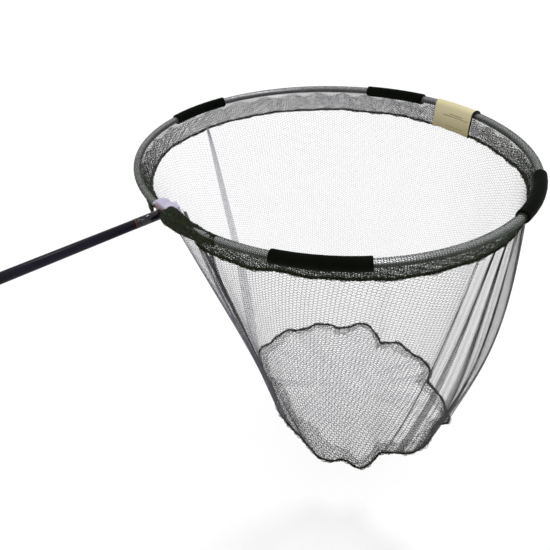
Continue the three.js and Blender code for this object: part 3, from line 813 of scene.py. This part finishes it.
label = patch("label_cloth", label_surface, 48, 48, 0.0004, "label")
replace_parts(label, "fabric_label")
for x, name in ((0.0, "label_hem_right"), (1.0, "label_hem_left")):
    edge = label_surface(np.full(60, x), np.linspace(0, 1, 60), 0.0002)
    hem = rope(name, edge, 0.0011 if x == 0 else 0.0004, "seam" if x == 0 else "label", sides=8)
    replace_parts(hem, "fabric_label")

# ---- gathered netting at the block ----


CRUMPLE, CRUMPLE_SCALE = 0.0007, 260


def crumpled(points):
    """Pushes points about by smooth folds, along all three directions."""
    p = points * CRUMPLE_SCALE
    waves = np.stack(
        [
            np.sin(p[:, 0] * 1.7 + p[:, 1] * 2.9),
            np.sin(p[:, 1] * 2.3 + p[:, 2] * 1.9),
            np.sin(p[:, 2] * 2.7 + p[:, 0] * 2.1),
        ],
        -1,
    )
    return points + CRUMPLE * waves


WRAP_START, WRAP_END = math.radians(-178.4), math.radians(-156)


def wrap_path(y):
    """The gathered netting's middle line, from over the block to the sleeve."""
    angle = WRAP_START + (WRAP_END - WRAP_START) * y
    point = rim_point(angle)
    point[..., 2] -= (0.001 + 0.005 * y) * (1 - y) ** 0.5
    return point, angle


def wrap_surface(x, y, grow=0.0):
    """The gathered netting's bunched outside, tapering towards the sleeve."""
    centre, angle = wrap_path(y)
    _, _, outward = rim_frame(angle)
    turn = 2 * np.pi * x
    taper = y * y * (3 - 2 * y)
    wide = 0.0116 - 0.0058 * taper + 0.0004 * np.sin(19 * y + 2.5) * (1 - y)
    tall = 0.0118 - 0.0060 * taper + 0.0005 * np.sin(23 * y) * (1 - y)
    folds = 1 + 0.040 * np.sin(3 * turn + 9 * y) + 0.035 * np.sin(7 * turn - 16 * y)
    ends = np.clip(y / 0.07, 0, 1)
    folds = (folds + grow) * (0.70 + 0.30 * np.sqrt(1 - (1 - ends) ** 2))
    point = centre + (wide * folds * np.cos(turn))[..., None] * outward
    point[..., 2] += tall * folds * np.sin(turn)
    return point


WRAP_ROWS, WRAP_SIDES = 90, 56
x, y = np.meshgrid(
    np.linspace(0, 1, WRAP_SIDES, endpoint=False), np.linspace(0, 1, WRAP_ROWS), indexing="xy"
)
wrap_core = new_mesh(
    "gathered_netting_core", crumpled(wrap_surface(x.ravel(), y.ravel())),
    grid_faces(WRAP_ROWS, WRAP_SIDES), "gather",
)
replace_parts(wrap_core, "sleeve_wrap")
wrap_net = netting(
    "net_wrap", lambda x, y: crumpled(wrap_surface(x, y, 0.05)), 26, 34, 0.0005, "sleeve",
    wrap=True, jitter=3e-4,
)

# The sleeve's gathered end, from the left arm down beside the block to clear of the ferrule.
under = np.array([
    [0.4800, 0.047, 0.0010], [0.4765, 0.037, -0.0005], [0.4730, 0.0275, -0.0010], [0.4700, 0.0185, -0.0030],
    [0.4690, 0.0125, -0.0050], [0.4700, 0.0105, -0.0065],
])
steps = np.linspace(0, len(under) - 1, 60)
under_path = np.stack([np.interp(steps, np.arange(len(under)), under[:, i]) for i in range(3)], -1)
kernel = np.hanning(9) / np.hanning(9).sum()
padded_path = np.pad(under_path, ((4, 4), (0, 0)), mode="edge")
under_path = np.stack([np.convolve(padded_path[:, i], kernel, "valid") for i in range(3)], -1)
under_radius = np.linspace(0.0036, 0.0018, 60) + 0.0003 * np.sin(np.linspace(0, 9, 60))
under_rope = rope(
    "gathered_netting_under", under_path, under_radius, "gather", sides=24, twist=0.12, pitch=0.02
)
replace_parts(under_rope, "mesh_sleeve")

# ---- the base panel ----

BASE_TWINE = 0.00092
BASE_CELL, BASE_ROW = 0.00472, 0.00794
BASE_COLUMNS = 100
BASE_SLANT = math.radians(17)


def base_panel():
    """Flat netting cut to the seam, with its rows at a slant, sagging and gathered at the edge."""
    rows = BASE_COLUMNS * BASE_CELL / BASE_ROW
    knots, twines = hex_net(BASE_COLUMNS, int(rows), False)
    flat = (knots - [BASE_COLUMNS / 2, rows / 2]) * [BASE_CELL, BASE_ROW]
    cosine, sine = math.cos(BASE_SLANT), math.sin(BASE_SLANT)
    flat = flat @ np.array([[cosine, -sine], [sine, cosine]]).T
    angle = np.arctan2(flat[:, 1], flat[:, 0])
    limit = base_radius(angle)
    share = np.linalg.norm(flat, axis=1) / limit
    inside = share < 0.995
    twines = twines[inside[twines].all(1)]
    share = np.clip(share, 0, 1)
    sag = 0.007 * (1 - share**2) + 0.0035 * share**3 * np.sin(19 * angle) * (1 - share**6)
    height = base_height(angle) * share**2 + (BASE_Z - 0.004) * (1 - share**2) - sag
    height = height + 0.0016 * np.sin(flat[:, 0] * 70) * np.sin(flat[:, 1] * 55)
    points = np.stack([BASE_CENTRE[0] + flat[:, 0], BASE_CENTRE[1] + flat[:, 1], height], -1)
    points = points + rng.normal(0, 1.5e-4, points.shape)
    normals = np.tile([0.0, 0.0, 1.0], (len(points), 1))
    corners, faces = strands(points, normals, twines, BASE_TWINE)
    return new_mesh("net_base", corners, faces, "base", smooth=False)


def base_hem(x, y):
    """The panel's edge, turned under and gathered inside the seam."""
    angle = 2 * np.pi * x
    reach = 0.017 * (1 + 0.35 * np.sin(7 * angle + 1)) + 0.014 * lobe(angle, -160, 28)
    radius = base_radius(angle) - 0.001 - reach * y
    height = base_height(angle) + 0.003 * np.sin(43 * angle + 5 * y) * y + 0.002
    return about_base(angle, radius, height)


base_piece = base_panel()
hem_pieces = netting("net_base_hem", base_hem, 260, 8, 0.00055, "hem", wrap=True, jitter=7e-4)

for piece in wall_pieces:
    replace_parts(piece, "bag_wall")
for piece in sleeve_pieces + lining_pieces:
    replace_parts(piece, "mesh_sleeve")
for piece in wrap_net:
    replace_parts(piece, "sleeve_wrap")
for piece in [base_piece, *hem_pieces]:
    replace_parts(piece, "bag_base")

# ---- handle ----


TUBE_WALL = 0.0008


def turned(node, name, profile, material, body, close=True):
    """A turned part that stands for a node; profile(start, end, radius) gives its outline."""
    low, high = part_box(node)
    piece = lathe(name, profile(low[0], high[0], (high[2] - low[2]) / 2), material, body, close=close)
    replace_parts(piece, node)
    return piece


def outer_tube_profile(start, end, radius):
    """A tube with its end rolled in to the mouth."""
    mouth = 0.00605
    outside = [(start, radius), (end - 0.0003, mouth), (end, mouth - 0.0002)]
    return [*outside, (end, mouth - TUBE_WALL), (start, radius - TUBE_WALL)]


def mouth_ring_profile(start, end, radius):
    bore = 0.0048
    start_edge = [(start, radius - 0.0003), (start + 0.0003, radius)]
    end_edge = [(end - 0.0004, radius), (end, radius - 0.0004)]
    return [(start, bore), *start_edge, *end_edge, (end, bore)]


def end_ferrule_profile(start, end, radius):
    """A sleeve with a groove near its start and a web across its bore."""
    front_bore, web_hole, rear_bore = 0.0058, 0.0020, 0.0047
    return [
        (start, rear_bore), (start, radius - 0.0006), (start + 0.0006, radius), (start + 0.0035, radius),
        (start + 0.0042, radius - 0.0004), (start + 0.0049, radius), (end - 0.0004, radius),
        (end, radius - 0.0004), (end, front_bore), (start + 0.0068, front_bore),
        (start + 0.0068, web_hole), (start + 0.005, web_hole), (start + 0.005, rear_bore),
    ]


def inner_tube_profile(start, end, radius):
    return [(start, radius), (end, radius), (end, radius - TUBE_WALL), (start, radius - TUBE_WALL)]


def butt_cap_profile(start, end, radius):
    """A domed cap with fine ribs round its side and a deep socket."""
    round_over, socket = 0.004, 0.0083
    dome = [
        (
            start + 0.0004 + round_over * (1 - math.cos(a * math.pi / 2)),
            radius - round_over * (1 - math.sin(a * math.pi / 2)),
        )
        for a in np.linspace(0, 1, 9)
    ]
    ribs = [(start + 0.010 + 0.0018 * i, radius - (0.0005 if i % 2 else 0)) for i in range(9)]
    inside = [(end, radius - 0.001), (end, socket), (start + 0.0078, socket), (start + 0.0078, 0)]
    return [(start, 0), (start, radius - 0.0048), *dome, *ribs, (end - 0.001, radius), *inside]


def hand_grip_profile(start, end, radius):
    """A foam sleeve with rounded ribs, thinner towards both ends."""
    ribs, steps = 32, 4
    bore, lip, shoulder = 0.0082, 0.0095, 0.0103
    profile = [(start, bore), (start, lip), (start + 0.001, shoulder)]
    for i in range(ribs * steps + 1):
        share = i / (ribs * steps)
        wave = 0.5 - 0.5 * math.cos(2 * math.pi * ribs * share)
        taper = min(1.0, 12 * share, 12 * (1 - share)) ** 0.5
        place = start + 0.002 + (end - start - 0.004) * share
        profile.append((place, radius - 0.0014 * (1 - taper) - 0.0007 * wave))
    return [*profile, (end - 0.001, shoulder), (end, lip), (end, bore)]


turned("outer_tube", "outer_tube_drawn", outer_tube_profile, "tube", "butt_section")
turned("mouth_ring", "mouth_ring_rolled", mouth_ring_profile, "copper", "butt_section")
turned("end_ferrule", "end_ferrule_turned", end_ferrule_profile, "ferrule", "inner_section")
turned("inner_tube", "inner_tube_drawn", inner_tube_profile, "tube", "inner_section")
turned("butt_cap", "butt_cap_moulded", butt_cap_profile, "rubber", "butt_section", close=False)
grip = turned("hand_grip", "hand_grip_foam", hand_grip_profile, "grip", "butt_section")

# ---- block, screws and bushes ----


def cast_block():
    """The spreader block: a rounded bar whose ends narrow round the frame's arms."""
    middle, half = (BLOCK_LOW + BLOCK_HIGH) / 2, (BLOCK_HIGH - BLOCK_LOW) / 2
    sides = 72
    turn = np.linspace(0, 2 * np.pi, sides, endpoint=False)
    section = np.stack([np.cos(turn), np.sin(turn)], -1)
    section = np.sign(section) * np.abs(section) ** 0.42
    share = np.sin(np.linspace(-0.5, 0.5, 49) * np.pi)
    narrow = 1 - 0.26 * np.clip((np.abs(share) - 0.40) / 0.60, 0, 1) ** 1.5
    narrow *= 1 - 0.10 * np.clip((np.abs(share) - 0.93) / 0.07, 0, 1) ** 2
    points = np.empty((len(share), sides, 3))
    points[..., 0] = middle[0] + half[0] * narrow[:, None] * section[:, 0]
    points[..., 1] = middle[1] + half[1] * share[:, None]
    points[..., 2] = middle[2] + half[2] * narrow[:, None] * section[:, 1]
    points = points.reshape(-1, 3)
    quads = grid_faces(len(share), sides)
    ring = np.arange(sides)
    last = len(points) - sides
    start_cap = np.stack([np.roll(ring, -1), ring, np.full(sides, len(points))], -1)
    end_cap = np.stack([last + ring, last + np.roll(ring, -1), np.full(sides, len(points) + 1)], -1)
    centres = middle + [[0, -half[1], 0], [0, half[1], 0]]
    faces = np.concatenate([quads[:, [0, 1, 2]], quads[:, [0, 2, 3]], start_cap, end_cap])
    block = new_mesh("head_block_cast", np.concatenate([points, centres]), faces, "block")
    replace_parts(block, "head_block")


cast_block()

# Parts that show as they come from the frame.
for node, material in {
    "mouth_bush": "plastic", "stop_bush": "plastic", "threaded_insert": "brass", "lock_washer": "rubber",
    "threaded_stud": "steel", "stud_nut": "block", "right_arm_screw": "steel", "left_arm_screw": "steel",
}.items():
    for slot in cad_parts[node].material_slots:
        slot.link = "OBJECT"
        slot.material = MATERIALS[material]

# ---- stage ----

FLOOR_REACH = 40.0
FLOOR_DROP = 0.45  # from the net's base down to the floor
corners = np.array([[-1, -1, 0], [1, -1, 0], [1, 1, 0], [-1, 1, 0]]) * [FLOOR_REACH, FLOOR_REACH, 1.0]
floor_mesh = bpy.data.meshes.new("floor")
floor_mesh.from_pydata((corners + [0.7, 0, BASE_Z - FLOOR_DROP]).tolist(), [], [(0, 1, 2, 3)])
floor_look = Nodes("floor_paint")
floor_look.set(
    Base_Color=floor_look.ramp(floor_look.noise(3.0), [(0.0, (0.93, 0.93, 0.93)), (1.0, (0.95, 0.95, 0.95))]),
    Roughness=0.9,
)
floor_mesh.materials.append(floor_look.material)
floor = bpy.data.objects.new("floor", floor_mesh)
scene.collection.objects.link(floor)

world = bpy.data.worlds.new("studio")
world.use_nodes = True
world.node_tree.nodes["Background"].inputs["Color"].default_value = (1, 1, 1, 1)
world.node_tree.nodes["Background"].inputs["Strength"].default_value = 0.80
scene.world = world


def soft_sun(name, towards, strength, spread):
    light = bpy.data.lights.new(name, "SUN")
    light.energy = strength
    light.angle = math.radians(spread)
    lamp = bpy.data.objects.new(name, light)
    lamp.rotation_euler = Vector(towards).to_track_quat("-Z", "Y").to_euler()
    scene.collection.objects.link(lamp)


soft_sun("key", (0.5, 0.9, -1.6), 0.55, 30)
soft_sun("overhead", (-0.26, -0.21, -0.944), 0.60, 8)
scene.view_settings.view_transform = "Standard"

bpy.context.view_layer.update()
